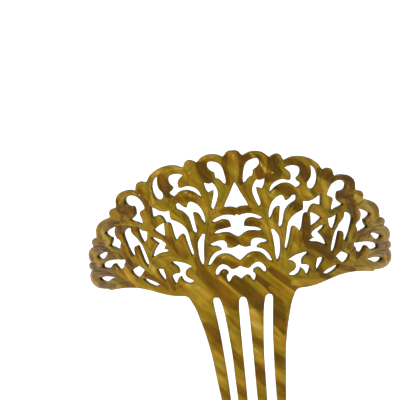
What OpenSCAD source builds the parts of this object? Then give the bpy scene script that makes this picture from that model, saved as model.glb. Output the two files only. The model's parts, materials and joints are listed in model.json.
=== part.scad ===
// Decorative hair comb: a fan-shaped, pierced and carved heading on four long teeth,
// sawn from one sheet and bent to the curve of the head.
// Frame: +Z up, +X to the right of someone looking at the front, +Y towards the wearer's head.
// The origin is on the front face, at the middle of the line where the teeth leave the heading.
// Outlines are drawn in the front view, as [x, z] on the front face. A third value marks a corner;
// every other point is passed through smoothly.

/* [Sheet] */
// Thickness of the sheet
sheet_t = 3; // [2.4:0.1:3.4]
// Radius of the bend, at the front face
bend_r = 95; // [92:1:120]
// Straight facets between two outline points
curve_steps = 3; // [2:1:6]

/* [Teeth] */
// Length of the inner teeth, from the heading to the tip
inner_tooth_length = 78; // [76:1:88]
// Length of the outer teeth
outer_tooth_length = 77; // [76:1:88]
// Sideways lean of the inner teeth, in mm for each mm of length
inner_lean = 0.022; // [0:0.002:0.04]
// Sideways lean of the outer teeth, in mm for each mm of length
outer_lean = 0.035; // [0:0.002:0.04]

/* [Hidden] */
CORNER = 1;
RIGHT = 1;
LEFT = -1;
front_gap = 1;
local_depth = 16;
half_overlap = 8;
reach = 6;
front_clear = 6;
back_clear = 1;
tallest = 200;
$fn = 96;

// Right half of the heading's edge, from the top of the crown to the right tooth's shoulder
heading_edge = [
    [0, 75], [1.8, 74.9], [3.2, 74.2], [4, 73.1], [4.9, 72.2, CORNER],
    [6.4, 72.9], [8.4, 73.6], [10.4, 73.8], [12.6, 73.6], [14.6, 73], [16.4, 71.8],
    [18.2, 69.9, CORNER],
    [19.6, 70.7], [21.6, 71.3], [23.2, 71], [24.1, 69.9], [24.6, 68.6], [25.4, 67.6, CORNER],
    [27.4, 68.2], [29.4, 68.7], [32, 68.7], [34.6, 68.2], [37.2, 67.3], [39.4, 66], [41.2, 64.5],
    [42.6, 62.9], [43.6, 61], [44.8, 59.6, CORNER],
    [46.3, 59.9], [47.8, 60], [49.2, 59.1], [49.9, 57.4], [50.2, 56], [51.4, 54.9, CORNER],
    [53.2, 55.3], [55.2, 55], [57.2, 54.3], [59, 53.1], [60.5, 51.4], [61.3, 49.4], [61.4, 47.4],
    [61.4, 46], [62.4, 44.9, CORNER],
    [64.2, 44.2], [65.3, 43], [65.7, 41.6], [65.5, 40.3], [66.2, 39.2, CORNER],
    [68.4, 38], [70.4, 36.6], [72.2, 34.9], [73.5, 32.9], [74.2, 30.6], [74.2, 28.6],
    [74.5, 26.7, CORNER],
    [76.1, 25.8], [77.2, 24.4], [77.3, 22.8], [76.9, 21.2, CORNER],
    [78.3, 19.9], [79.5, 18.2], [80.1, 16.2], [80.1, 14.2], [79.4, 11.9, CORNER],
    [80.2, 10.8], [80.5, 9.2], [80.2, 7.8], [79.3, 7.2, CORNER],
    [80, 6], [80.4, 4.2], [80.3, 2], [79.6, 0.2], [78.2, -0.9], [76.2, -1.4], [74, -1.1], [72, -0.6],
    [70.4, -0.2, CORNER],
    [69.2, -0.5], [67.4, 0.1], [65, 1.1], [62, 2.1], [58.6, 3], [55, 3.5], [51, 3.6], [47.5, 3.2],
    [44, 2.6], [40, 1.8], [36.5, 1.3], [32.5, 1.2], [29.4, 1.3], [27.9, 0.8], [26.8, -0.4]
];
// Right outer tooth, down its outer edge and up its inner edge
outer_tooth_edge = [
    [26, -2], [24.7, -5], [23.2, -10], [21.9, -15], [20.8, -20], [19.1, -30], [18.1, -40], [17.1, -50],
    [16.2, -60], [15.4, -70], [14.8, 2.6 - outer_tooth_length], [13.6, -outer_tooth_length],
    [12.4, 2.4 - outer_tooth_length], [11.9, -70],
    [11.8, -60], [12, -50], [12.3, -40], [12.8, -30], [13.4, -20], [14.4, -10], [15, -5], [15.2, -1.6]
];
// Right inner tooth, over the notch beside it, down its outer edge and up its inner edge
inner_tooth_edge = [
    [14.6, 0.1], [13.3, 0.5], [12.1, 0.1], [11.3, -1.4], [10.5, -5], [9.8, -10], [8.9, -20], [8.2, -30],
    [7.9, -40], [7.6, -50], [7.4, -60], [6.9, -70], [6.3, 3 - inner_tooth_length],
    [5.2, -inner_tooth_length], [4, 3 - inner_tooth_length],
    [3.2, -70], [2.7, -60], [2.55, -50], [2.55, -30], [2.5, -15], [2.3, -6], [1.9, -1.6], [1.1, -0.1],
    [0, 0.3]
];

// Openings in the middle of the heading, right half of each, from the top of the centre line
crown_window = [
    [0, 59.3, CORNER], [1.2, 57], [2.1, 55], [3.6, 52], [4.7, 50], [5.6, 48], [6, 46.8, CORNER],
    [3, 46.9], [1.2, 46.6], [0, 46, CORNER]
];
upper_window = [
    [0, 43, CORNER], [1.2, 42.2, CORNER], [2.2, 42.7], [4, 43], [6, 43], [8, 42.6], [10, 41.8],
    [11.5, 40.9],
    [12.9, 40, CORNER],
    [11.5, 39.5], [10, 39.9], [8.5, 40.5], [7, 40.7], [5.2, 40.4], [4, 39.6], [3.4, 38.4],
    [3.2, 36.8, CORNER],
    [5, 36.4], [7, 36.1], [9, 35.7], [10.5, 35], [12.2, 33.7, CORNER],
    [10.5, 33.5], [9, 33.8], [7, 34.1], [5, 34], [3.4, 33.4], [1.8, 32.3], [0, 31.3, CORNER]
];
middle_window = [
    [0, 27.4, CORNER], [1, 26.8], [2.5, 26.2], [4, 26], [6.1, 26.4, CORNER],
    [6, 27.6], [6.4, 29], [7.4, 29.9], [9, 30.1], [11, 29.7], [13, 28.9], [14.6, 28, CORNER],
    [13, 27.3], [11.4, 27.3], [10, 26.7], [9, 25.9], [8.7, 25.2, CORNER],
    [10.2, 24.8], [12, 24], [13.6, 22.4], [15, 20.3], [16.2, 17.3, CORNER],
    [14.8, 18], [13.5, 19.7], [12, 21.5], [10.5, 22.5], [9, 23], [7, 23.1], [5, 22.7], [3.4, 21.8],
    [1.8, 20.5], [0, 19.2, CORNER]
];
lower_window = [
    [0, 16.4, CORNER], [1, 16], [2.4, 15.3], [4, 15], [5, 15.4], [6, 16.5], [7.4, 17.4], [9, 17.7],
    [10.4, 17.2], [11.6, 16], [12.4, 14.7], [12.8, 13.3], [12.5, 12.1, CORNER],
    [11.6, 12.4], [10.9, 13.4], [10, 14.4], [8.6, 15], [7.2, 14.6], [6.2, 13.8], [6.2, 12.8], [7, 12],
    [7.2, 11], [7, 9.6], [6.4, 8.2, CORNER],
    [5.7, 9], [5.2, 9.9], [4.5, 10.9], [3.3, 11.5], [2, 11.1], [1, 10.4], [0, 9.6, CORNER]
];

// Openings of the right half; the left half mirrors them
stem_slit = [
    [16.6, 33.6, CORNER], [17.8, 33.7, CORNER], [19, 32], [20.2, 30], [20.7, 28], [20.7, 25],
    [20.5, 22],
    [20, 19.6], [18.9, 17.3, CORNER], [18.1, 19.5], [17.9, 22], [17.8, 25], [17.5, 28], [17.1, 31]
];
claw_window = [
    [16.2, 39, CORNER], [15.9, 41], [16.2, 43], [16.8, 45.2], [18, 47.5], [19.6, 49.1], [21.2, 50],
    [22.6, 50.4],
    [23.8, 49.6], [24.4, 48.5], [24.8, 47.3, CORNER],
    [26, 47.7], [27.4, 48.7], [28.8, 49.4], [30, 49.1], [30.3, 48], [30, 46.5, CORNER],
    [28.4, 45.8], [26.8, 44.9], [25.2, 43.4], [24.1, 41.6], [23.4, 39.2], [22.8, 36.6], [22.3, 35],
    [21.3, 34.1, CORNER],
    [20.6, 35.4], [20.9, 38], [21.3, 41], [21.6, 43.4], [21.8, 44.8, CORNER],
    [20.6, 44.8], [19.2, 44], [18.2, 42.6], [17.5, 40.9]
];
crown_side_window = [
    [4.6, 58.5, CORNER], [4.3, 60.5], [4.6, 62.8], [5, 65], [5.7, 67.2], [7, 69], [8.8, 69.9],
    [10.6, 70.2],
    [12.2, 69.9], [12.9, 68.6], [12.8, 67, CORNER],
    [11.6, 65.6], [10.2, 64.8], [9.6, 64.2], [9.4, 62.9], [9.1, 61.6, CORNER],
    [7.7, 61.2], [6.5, 60.2], [5.5, 59]
];
crown_slit = [
    [11.6, 45.9, CORNER], [10.5, 48], [9.5, 50.4], [8.8, 52.6], [8.6, 54.6], [9, 56.6], [10, 58.5],
    [11.1, 59.7, CORNER],
    [12.5, 59.2], [13.8, 59.4], [15.3, 60, CORNER],
    [15, 58.3], [14.4, 56.2], [13.5, 54.6, CORNER],
    [12.2, 55.3], [10.7, 55.7, CORNER],
    [10.8, 53.6], [11.4, 51.2], [12.1, 48.9], [12.3, 47]
];
bow_window = [
    [25.3, 63.9, CORNER], [27, 64.4], [29, 64.5], [31, 64], [32.6, 63], [33.2, 61.6], [33, 60],
    [32.2, 58.7],
    [31.2, 57.9], [30.9, 57.2], [31.5, 56.1], [32.9, 55, CORNER],
    [32.8, 54], [31.8, 53.3], [30.6, 52.9, CORNER],
    [29.4, 54.2], [28, 55.4], [26.4, 56], [24.4, 56.2], [22.4, 55.8], [20.4, 54.9], [18.6, 53.5],
    [17, 52.2, CORNER],
    [17.4, 54.4], [18.6, 56.4], [20.2, 57.5], [22, 58.1], [24, 58.2], [26, 57.6], [27.6, 57.3, CORNER],
    [28.1, 58.5], [28.2, 60.2], [27.6, 61.6], [26.5, 62.8]
];
crescent_window = [
    [38.3, 63.2, CORNER], [39.9, 61.9], [41.1, 60.2], [41.7, 58.2], [41.7, 56], [41.2, 53.9],
    [40.2, 52],
    [38.7, 51.1], [37.2, 51.6], [36.2, 52.8], [36.2, 54.4], [37.2, 55.7], [38.1, 57.1], [38.6, 59],
    [38.6, 61]
];
leaf_window = [
    [33.6, 45.7, CORNER], [35, 45.3], [36.8, 45.2], [38.6, 45.5], [40.4, 46.4], [42.9, 47.6, CORNER],
    [42.9, 45.4], [42.6, 42, CORNER],
    [41.4, 42.5], [40, 43.1], [38.8, 43.1], [37.6, 42.3], [36.7, 41], [36, 39.4, CORNER],
    [34.9, 39.5], [34, 39.1], [33.3, 37.4], [32.8, 35], [32.3, 32.6], [31.4, 30.5, CORNER],
    [30.6, 31.3], [29.8, 32.6], [28.9, 33.5], [27.8, 33.7], [27, 33], [26.5, 31.2], [25.8, 28.6],
    [25.1, 26],
    [23.7, 22.4, CORNER],
    [23, 24], [23.3, 26], [23.8, 28.4], [24.3, 31], [24.8, 33.8], [25.6, 36.2], [27, 38.1],
    [28.8, 39.5],
    [31, 40.5], [33, 41.2, CORNER], [33.5, 42.6], [33.6, 44.2]
];
small_triangle = [
    [36.9, 39.3, CORNER], [38.6, 38.4], [40.6, 37], [42.4, 35.3, CORNER],
    [40.6, 33.9], [38.6, 32.8], [36.8, 31.9, CORNER], [36.9, 35.5]
];
zigzag_window = [
    [44.2, 31.4, CORNER], [42, 31.5], [40, 30.6], [38.2, 29.7], [36.9, 28.5], [37.2, 27.2],
    [38, 26, CORNER],
    [36.8, 25.7], [35.5, 25.1, CORNER],
    [37.2, 24.2], [39.4, 23.7], [41.4, 22.9], [43, 21.8], [44.3, 21.1, CORNER],
    [43.6, 23.4], [42.6, 25.2], [41.5, 26.8], [40.5, 28.1, CORNER], [41.6, 29], [42.8, 29.8]
];
star_window = [
    [24.7, 17.1, CORNER], [26.6, 18.2], [28.6, 18.9], [31, 19.3], [33, 19.5], [34.6, 18.7, CORNER],
    [33.2, 17.7], [32, 16.8], [31.2, 15.6], [31, 14.4], [31, 13.4, CORNER],
    [32.6, 13.1], [34.2, 12.4], [35, 11.4], [34.8, 10], [34.3, 8.8], [33.5, 7.6, CORNER],
    [32.6, 8.8], [32.1, 10.1], [31.3, 11.3], [30.4, 11.9, CORNER],
    [30, 10.6], [29.2, 9.3], [28, 8.5], [26.6, 8.2], [25.3, 8.5], [24, 9.5, CORNER],
    [25.6, 10.5], [27, 11.2], [27.8, 12.4], [28, 13.7], [27.5, 15.1], [26.4, 16], [25.2, 16.3]
];
drop_window = [
    [39.2, 15, CORNER], [40.6, 15.2], [42.4, 14.8, CORNER],
    [41.8, 13], [40.8, 11.4], [39.6, 9.8], [38.2, 8.7, CORNER], [38.4, 11], [38.9, 13.2]
];
rail_slit = [
    [41.8, 6.8, CORNER], [43.6, 7.9], [46, 8.7], [48.2, 9.3], [50.2, 9.2, CORNER],
    [48.6, 7.4], [46.4, 6.3], [44, 5.8]
];
wing_window = [
    [46.8, 15.8, CORNER], [46.5, 18], [47, 20.4], [47.8, 22.8], [48.7, 25.2], [49.6, 27.2],
    [50.6, 28.6],
    [51.8, 30.3], [53.2, 31.7], [54.2, 33], [54.7, 35.5, CORNER],
    [56.6, 34.8], [58.2, 33.4], [59, 31.8], [58.8, 29.8], [58.1, 27.6], [57.3, 25.2], [56.3, 22.9],
    [54.9, 20.5, CORNER],
    [53.6, 21.4], [53.6, 23], [53.7, 24.6], [53.2, 25.8], [52.2, 26.4], [51.4, 26], [50.9, 24.4],
    [50.2, 22.2],
    [49.5, 19.8], [48.6, 17.6]
];
kite_window = [
    [49, 13.9, CORNER], [50.6, 15], [51.8, 15.7, CORNER], [53.4, 14.7], [55, 13.6],
    [56.4, 12.5, CORNER],
    [55.4, 10.8], [54.2, 9.8], [53, 9.3, CORNER], [51.6, 10.5], [50.2, 12.3]
];
wing_leaf_window = [
    [62.8, 34.9, CORNER], [64.8, 34], [66.8, 32.6], [68.4, 31.2], [69, 30.2, CORNER],
    [67.4, 29.1], [65.6, 28.6, CORNER], [65.6, 27.2], [66.2, 25.6], [67, 24.2, CORNER],
    [65, 23.7], [63, 23.2], [61.2, 23.2, CORNER], [61.1, 25.4], [60.6, 27.2], [61.4, 28.2],
    [62.6, 28.9],
    [63.3, 30.4], [63.6, 32.2], [63.3, 33.6]
];
hook_window = [
    [59.2, 18, CORNER], [61.5, 17.6], [64, 17.2], [66.4, 16.5], [68.6, 15.5], [70.6, 14.4],
    [72.2, 12.8],
    [72.6, 11.3, CORNER],
    [70.8, 11.2], [69, 11.6], [67.6, 12.3], [66.8, 13.5], [65.9, 14.7], [65, 14.5], [64.2, 13.4],
    [62.9, 12, CORNER], [61.6, 12.8], [60.5, 13.8], [60, 15.2], [59.4, 16.8]
];
upper_tip_slit = [
    [68.6, 20.2, CORNER], [70.6, 19.7], [73, 18.2], [75.2, 16.3, CORNER], [73.8, 15.4], [72.2, 15.6],
    [70.6, 16.9], [69.4, 18.6]
];
lower_tip_slit = [
    [66, 7.3, CORNER], [68.4, 7.1], [71, 6.5], [73.2, 5.4], [75, 4.2, CORNER],
    [73.4, 3.5], [71.4, 3.6], [69.6, 4.6], [67.8, 6.1]
];
rim_window = [
    [46.2, 46.5, CORNER], [46.6, 48], [47.3, 49.5], [48.5, 51.1], [50.2, 52.2], [52, 52.6],
    [53.8, 52.3],
    [55.4, 51.4], [56.4, 50], [56.3, 48.4], [55.2, 47.2], [53.7, 46.9], [52.3, 46.9], [51.6, 45.8],
    [51.4, 44.2], [51.5, 42.8], [52.4, 41.4], [54.3, 39.7, CORNER],
    [52.6, 39.1], [50.6, 38.7], [48.2, 37.6, CORNER], [47.9, 39.8], [48.5, 41.8], [49, 43.6],
    [48.6, 44.7],
    [47.4, 45.5]
];
fin_window = [
    [46.2, 34.2, CORNER], [47.8, 34.5], [49.4, 35.1], [51, 36, CORNER], [50.8, 34], [50.2, 32],
    [49.5, 30.2],
    [48.5, 28.4, CORNER], [47.3, 29.2], [46.6, 30.6], [46.4, 32.4]
];

// The named pieces of the sheet, as [x, z] on the front face, the right one of each pair. Two
// neighbours share the line that crosses a neck; elsewhere the lines run in the open.
heel_bar_area = [
    [28.2, 0], [26.3, 9.4], [24.7, 9.5], [14, 8], [6.3, 8.9], [-6.3, 8.9], [-14, 8], [-24.7, 9.5],
    [-26.3, 9.4], [-28.2, 0]
];
heel_scallops_area = [
    [6.3, 8.9], [6.2, 10.5], [5.5, 12.2], [5.2, 13.6], [-5.2, 13.6], [-5.5, 12.2], [-6.2, 10.5],
    [-6.3, 8.9]
];
middle_curls_area = [
    [5.2, 13.6], [6.6, 15.4], [8.7, 16.4], [11, 15.2], [12.1, 13.6], [15.8, 17.8], [14.9, 19.1],
    [13.5, 21], [12, 22.7], [9.5, 24], [6, 24.5], [-6, 24.5], [-9.5, 24], [-12, 22.7], [-13.5, 21],
    [-14.9, 19.1], [-15.8, 17.8], [-12.1, 13.6], [-11, 15.2], [-8.7, 16.4], [-6.6, 15.4], [-5.2, 13.6]
];
arch_bar_area = [
    [3, 47.6], [-3, 47.6], [-5.5, 47.2], [-11.7, 46.6], [-12.2, 40.1], [-11.5, 40.2], [-9.5, 41],
    [-7, 41.9], [-3.5, 41.6], [3.5, 41.6], [7, 41.9], [9.5, 41], [11.5, 40.2], [12.2, 40.1],
    [11.7, 46.6],
    [5.5, 47.2]
];
crown_bud_area = [
    [0, 58.6], [4.9, 59.1], [5.2, 61], [5.8, 64.5], [7, 67.5], [5, 72.9], [4.9, 77], [-4.9, 77],
    [-5, 72.9], [-7, 67.5], [-5.8, 64.5], [-5.2, 61], [-4.9, 59.1]
];
tooth_1_area = [
    [-28.2, 0], [-28.2, -90], [-7, -90], [-8.4, -50], [-10.6, -20], [-13.3, 0]
];
tooth_2_area = [
    [-13.3, 0], [-10.6, -20], [-8.4, -50], [-7, -90], [1.8, -90], [1.1, -50], [0.4, -20], [0, 0]
];
tooth_3_area = [
    [0, 0], [0.4, -20], [1.1, -50], [1.8, -90], [11, -90], [11.2, -50], [11.8, -20], [13.3, 0]
];
tooth_4_area = [
    [13.3, 0], [11.8, -20], [11.2, -50], [11, -90], [28.2, -90], [28.2, 0]
];
lower_curl_area = [
    [6.3, 8.9], [14, 8], [12.2, 12.7], [12.1, 13.6], [11, 15.2], [8.7, 16.4], [6.6, 15.4], [5.2, 13.6],
    [5.5, 12.2], [6.2, 10.5]
];
upper_curl_area = [
    [0, 24.5], [6, 24.5], [7.6, 25.5], [7.6, 27.5], [9.5, 28.6], [12, 28.3], [13.9, 28], [11.8, 33.8],
    [10.5, 34.2], [8, 35], [3, 35], [0, 35]
];
lower_stem_area = [
    [14, 8], [24.7, 9.5], [26.3, 9.4], [28.8, 11.2], [29.6, 14], [27, 17], [25.4, 16.9], [23.7, 23.1],
    [24.2, 26], [24.8, 28.5], [25.3, 31], [25.4, 33.9], [21.4, 34.8], [17.2, 33.4], [11.8, 33.8],
    [13.9, 28], [12, 28.3], [9.5, 28.6], [7.6, 27.5], [7.6, 25.5], [9.5, 24], [12, 22.7], [13.5, 21],
    [14.9, 19.1], [15.8, 17.8], [12.1, 13.6], [12.2, 12.7]
];
upper_stem_area = [
    [11.8, 33.8], [17.2, 33.4], [21.4, 34.8], [21.7, 36.5], [22.2, 40], [23, 43.5], [22.5, 47.5],
    [20, 46.8], [18.4, 46.4], [17.3, 52.7], [13.3, 55.3], [13.2, 57.5], [10.6, 57], [9.6, 54.5],
    [10, 51.5], [11.2, 48.3], [11.7, 46.6], [12.2, 40.1], [11.5, 40.2], [9.5, 41], [7, 41.9],
    [3.5, 41.6],
    [2, 39], [2, 36], [3, 35], [8, 35], [10.5, 34.2]
];
crown_arm_area = [
    [11.7, 46.6], [11.2, 48.3], [10, 51.5], [9.6, 54.5], [10.6, 57], [11.2, 59], [8.7, 62.1],
    [7.5, 62.5],
    [5.2, 61], [4.9, 59.1], [0, 58.6], [0.6, 55], [4, 48.5], [5.5, 47.2]
];
rim_lobe_1_area = [
    [7, 67.5], [7.5, 66], [7.5, 62.5], [8.7, 62.1], [11.2, 59], [13.2, 57.5], [13.3, 55.3],
    [17.3, 52.7],
    [19, 55.3], [18.3, 70.6], [18.2, 77], [4.9, 77], [5, 72.9]
];
rim_bud_1_area = [
    [19, 55.3], [20.5, 56.3], [22.2, 57], [24.2, 57.2], [26.5, 56.9], [28.4, 56.6], [29.5, 59],
    [29, 62.5], [26, 63.8], [25.6, 68.3], [25.4, 77], [18.2, 77], [18.3, 70.6]
];
rim_lobe_2_area = [
    [26, 63.8], [29, 62.5], [29.5, 59], [30.2, 56], [31.8, 54.6], [37.5, 53.2], [39.5, 54.5],
    [40.5, 57.5], [45, 60.3], [44.8, 77], [25.4, 77], [25.6, 68.3]
];
bow_leaf_area = [
    [18.4, 46.4], [20, 46.8], [22.5, 47.5], [23, 43.5], [22.2, 40], [21.7, 36.5], [21.4, 34.8],
    [25.4, 33.9], [26.2, 35], [28.5, 37.5], [31.5, 39.2], [34.2, 40.6], [34.4, 44.8], [37, 44.3],
    [41, 45.6], [42.6, 47.1], [38.9, 52.2], [37.5, 53.2], [31.8, 54.6], [30.2, 56], [28.4, 56.6],
    [26.5, 56.9], [24.2, 57.2], [22.2, 57], [20.5, 56.3], [19, 55.3], [17.3, 52.7]
];
wing_root_area = [
    [25.4, 16.9], [27, 17], [29.5, 17.3], [32, 18.3], [33.9, 18.7], [36.2, 25.1], [37.2, 24.9],
    [38.6, 26], [38, 28.2], [37.2, 32.5], [37.6, 34], [37.8, 37], [37.2, 38.8], [35.6, 40],
    [34.2, 40.6],
    [32, 38], [31, 35], [29.5, 34.8], [26.2, 35], [25.4, 33.9], [25.3, 31], [24.8, 28.5], [24.2, 26],
    [23.7, 23.1]
];
inner_rail_area = [
    [28.2, 0], [28.2, -5], [38.6, -5], [38.6, 9.3], [33.5, 8.3], [33.6, 9.5], [32.5, 11.9],
    [30.5, 12.7],
    [28.8, 11.2], [26.3, 9.4]
];
outer_rail_area = [
    [70.4, -5], [70.4, -0.9], [66.6, 7.1], [62.8, 12.7], [55.7, 12.4], [54, 12.3], [51.8, 12],
    [49.7, 13.8], [47, 16.5], [41.8, 14.4], [41, 14.3], [39.6, 12], [38.6, 9.3], [38.6, -5]
];
wing_heart_area = [
    [32, 18.3], [30.2, 16.3], [29.6, 14], [30.5, 12.7], [32.5, 11.9], [33.6, 9.5], [33.5, 8.3],
    [38.6, 9.3], [39.6, 12], [41, 14.3], [41.8, 14.4], [47, 16.5], [47.6, 18], [47.8, 20.8],
    [43.9, 21.6],
    [42.3, 23.6], [39.5, 24.8], [37.2, 24.9], [36.2, 25.1], [33.9, 18.7]
];
wing_scroll_area = [
    [37.2, 38.8], [37.8, 37], [37.6, 34], [37.2, 32.5], [38, 28.2], [40.3, 29.4], [42.3, 30.5],
    [43.5, 31.2], [46.9, 32], [47.8, 34], [48.6, 38.2], [48.4, 39.8], [49.4, 40.6], [50.2, 43.2],
    [49.6, 46.3], [46.9, 46.7], [42.6, 47.1], [41, 44.8], [38, 44.2], [36, 42], [35.6, 40]
];
rim_bud_2_area = [
    [45, 60.3], [40.5, 57.5], [39.5, 54.5], [38.9, 52.2], [42.6, 47.1], [46.9, 46.7], [48.5, 48.5],
    [51.8, 51.5], [51.6, 55.6], [51.4, 63], [44.8, 63]
];
rim_lobe_3_area = [
    [51.6, 55.6], [51.8, 51.5], [48.5, 48.5], [49.6, 46.3], [50.2, 43.2], [51.2, 41], [53.6, 39.8],
    [55, 35], [56, 33.8], [57.8, 32.5], [63.3, 34.5], [64.8, 33], [66.6, 39.8], [69, 42], [66, 48],
    [66, 63], [51.4, 63]
];
wing_vein_area = [
    [47.8, 34], [46.9, 32], [43.5, 31.2], [42.3, 30.5], [40.3, 29.4], [39.6, 27.8], [41.2, 25.6],
    [42.3, 23.6], [43.9, 21.6], [47.8, 20.8], [48.8, 22.8], [50, 25.4], [51.3, 28.2], [53.5, 30.6],
    [55.4, 33.6], [55, 35], [53.6, 39.8], [51.2, 41], [49.4, 40.6], [48.4, 39.8], [48.6, 38.2]
];
wing_spray_area = [
    [49.7, 13.8], [51.8, 12], [54, 12.3], [55.7, 12.4], [62.8, 12.7], [61.6, 14], [60.6, 16.5],
    [59.6, 17.5], [61.7, 23.6], [62, 26], [63, 28], [64.3, 30], [64.8, 33], [63.3, 34.5], [57.8, 32.5],
    [56, 33.8], [55.4, 33.6], [53.5, 30.6], [51.3, 28.2], [50, 25.4], [48.8, 22.8], [47.8, 20.8],
    [47.6, 18], [47, 16.5]
];
rim_lobe_4_area = [
    [64.8, 33], [64.3, 30], [64.6, 27], [65, 24.8], [66.3, 24.4], [75, 27.1], [80, 28], [80, 42],
    [69, 42], [66.6, 39.8]
];
upper_tip_area = [
    [60.6, 16.5], [63.5, 15.5], [66.3, 15.7], [68, 14.2], [70.3, 12.8], [72.1, 11.7], [80.1, 12],
    [86, 12], [86, 26], [80, 28], [75, 27.1], [66.3, 24.4], [65, 24.8], [62, 24.2], [61.7, 23.6],
    [59.6, 17.5]
];
lower_tip_area = [
    [66.6, 7.1], [70.4, -0.9], [70.4, -5], [86, -5], [86, 12], [80.1, 12], [72.1, 11.7], [70.3, 12.8],
    [68, 14.2], [66.3, 15.7], [63.5, 15.5], [62.8, 12.7]
];

// Smooth outlines
function is_corner(p) = len(p) > 2;
function unit(v) = v / norm(v);
function flat(p) = [p.x, p.y];
function hermite(p0, p1, d0, d1, t) =
    (2 * t ^ 3 - 3 * t ^ 2 + 1) * p0 + (t ^ 3 - 2 * t ^ 2 + t) * d0
    + (3 * t ^ 2 - 2 * t ^ 3) * p1 + (t ^ 3 - t ^ 2) * d1;
// Tangents at the two ends of a span: along the neighbours, or free at a corner
function tangent(from, to, length) = unit(to - from) * length;
function span_ends(before, p, q, after, length) =
    let (smooth_p = tangent(before, flat(q), length), smooth_q = tangent(flat(p), after, length))
    is_corner(p) && is_corner(q) ? [flat(q) - flat(p), flat(q) - flat(p)] :
    is_corner(p) ? [1.5 * (flat(q) - flat(p)) - 0.5 * smooth_q, smooth_q] :
    is_corner(q) ? [smooth_p, 1.5 * (flat(q) - flat(p)) - 0.5 * smooth_p] :
    [smooth_p, smooth_q];
function span(before, p, q, after) =
    let (ends = span_ends(flat(before), p, q, flat(after), norm(flat(q) - flat(p))))
    [for (k = [0:curve_steps - 1]) hermite(flat(p), flat(q), ends[0], ends[1], k / curve_steps)];
function closed_curve(points) =
    let (n = len(points))
    [
        for (i = [0:n - 1])
            each span(points[(i + n - 1) % n], points[i], points[(i + 1) % n], points[(i + 2) % n])
    ];

// Left and right
function backwards(points) = [for (i = [len(points) - 1:-1:0]) points[i]];
function negated(p) = is_corner(p) ? [-p.x, p.y, CORNER] : [-p.x, p.y];
function mirrored(points) = backwards([for (p = points) negated(p)]);
function placed(points, side) = side > 0 ? points : mirrored(points);
function leaned(points, lean) = [for (p = points) [p.x + lean * max(0, -p.y), p.y]];
function toothed_edge(side) = concat(
    heading_edge,
    leaned(outer_tooth_edge, side * outer_lean),
    leaned(inner_tooth_edge, side * inner_lean)
);
// One half of the comb's outline, closed a little beyond the middle
function half_outline(side) =
    let (edge = toothed_edge(side), top = edge[0].y, notch = edge[len(edge) - 1].y)
    placed(concat(edge, [[-half_overlap, notch, CORNER], [-half_overlap, top, CORNER]]), side);
function full_outline() = concat(
    toothed_edge(1),
    [for (p = mirrored(toothed_edge(-1))) if (p.x < 0) p]
);
function full_opening(half) = concat(half, [for (p = mirrored(half)) if (p.x < 0) p]);

centre_openings = [
    for (half = [crown_window, upper_window, middle_window, lower_window]) full_opening(half)
];
right_openings = [
    stem_slit, claw_window, crown_side_window, crown_slit, bow_window, crescent_window, leaf_window,
    small_triangle, zigzag_window, star_window, drop_window, rail_slit, wing_window, kite_window,
    wing_leaf_window, hook_window, upper_tip_slit, lower_tip_slit, rim_window, fin_window
];
function side_openings(side) = [for (points = right_openings) placed(points, side)];

// The reach of an area, and the openings near it
function low(points, axis) = min([for (p = points) p[axis]]);
function high(points, axis) = max([for (p = points) p[axis]]);
function overlap(a, b) =
    low(a, 0) < high(b, 0) + reach && low(b, 0) < high(a, 0) + reach
    && low(a, 1) < high(b, 1) + reach && low(b, 1) < high(a, 1) + reach;
function middle_turn(area) = asin((low(area, 0) + high(area, 0)) / 2 / bend_r);
// Points of the front face as a viewer turned about the bend's axis sees them
function turned(points, turn) = [for (p = points) [bend_r * sin(asin(p.x / bend_r) - turn), p.y]];

module sheet() {
    translate([0, bend_r, -tallest / 2])
        difference() {
            cylinder(r = bend_r, h = tallest);
            translate([0, 0, -1]) cylinder(r = bend_r - sheet_t, h = tallest + 2);
        }
}

// The sawn profile near an area, cut square to the sheet at the area's middle
module sawn_block(area, outline, openings) {
    turn = middle_turn(area);
    window = turned(area, turn);
    start = [low(window, 0), low(window, 1)] - [reach, reach];
    end = [high(window, 0), high(window, 1)] + [reach, reach];
    translate([0, bend_r, 0]) rotate([0, 0, turn]) translate([0, local_depth - bend_r, 0])
        rotate([90, 0, 0]) linear_extrude(local_depth + front_gap)
            difference() {
                intersection() {
                    polygon(turned(closed_curve(outline), turn));
                    translate(start) square(end - start);
                }
                for (opening = openings)
                    if (overlap(opening, area)) polygon(turned(closed_curve(opening), turn));
            }
}

// A block over an area, with each corner's edge square to the bent sheet, so that neighbours fit
function on_ray(p, radius) =
    let (angle = asin(p.x / bend_r))
    [radius * sin(angle), bend_r - radius * cos(angle), p.y];
function is_before(p, q) = p.x < q.x || (p.x == q.x && p.y < q.y);
function side_faces(area, i, j) =
    let (n = len(area))
    is_before(area[i], area[j])
        ? [[i, j, n + j], [i, n + j, n + i]]
        : [[i, j, n + i], [j, n + j, n + i]];
module area_block(area) {
    n = len(area);
    front = [for (p = area) on_ray(p, bend_r + front_clear)];
    back = [for (p = area) on_ray(p, bend_r - sheet_t - back_clear)];
    caps = [[for (i = [n - 1:-1:0]) i], [for (i = [0:n - 1]) n + i]];
    sides = [for (i = [0:n - 1]) each side_faces(area, i, (i + 1) % n)];
    polyhedron(concat(front, back), concat(caps, sides));
}

module piece(area, outline, openings) {
    intersection() {
        sheet();
        sawn_block(area, outline, openings);
        area_block(area);
    }
}
module side_piece(area, side) {
    piece(placed(area, side), half_outline(side), concat(centre_openings, side_openings(side)));
}
module tooth_piece(area, side) {
    piece(area, half_outline(side), []);
}
module centre_piece(area) {
    piece(area, full_outline(), concat(centre_openings, side_openings(1), side_openings(-1)));
}

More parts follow.
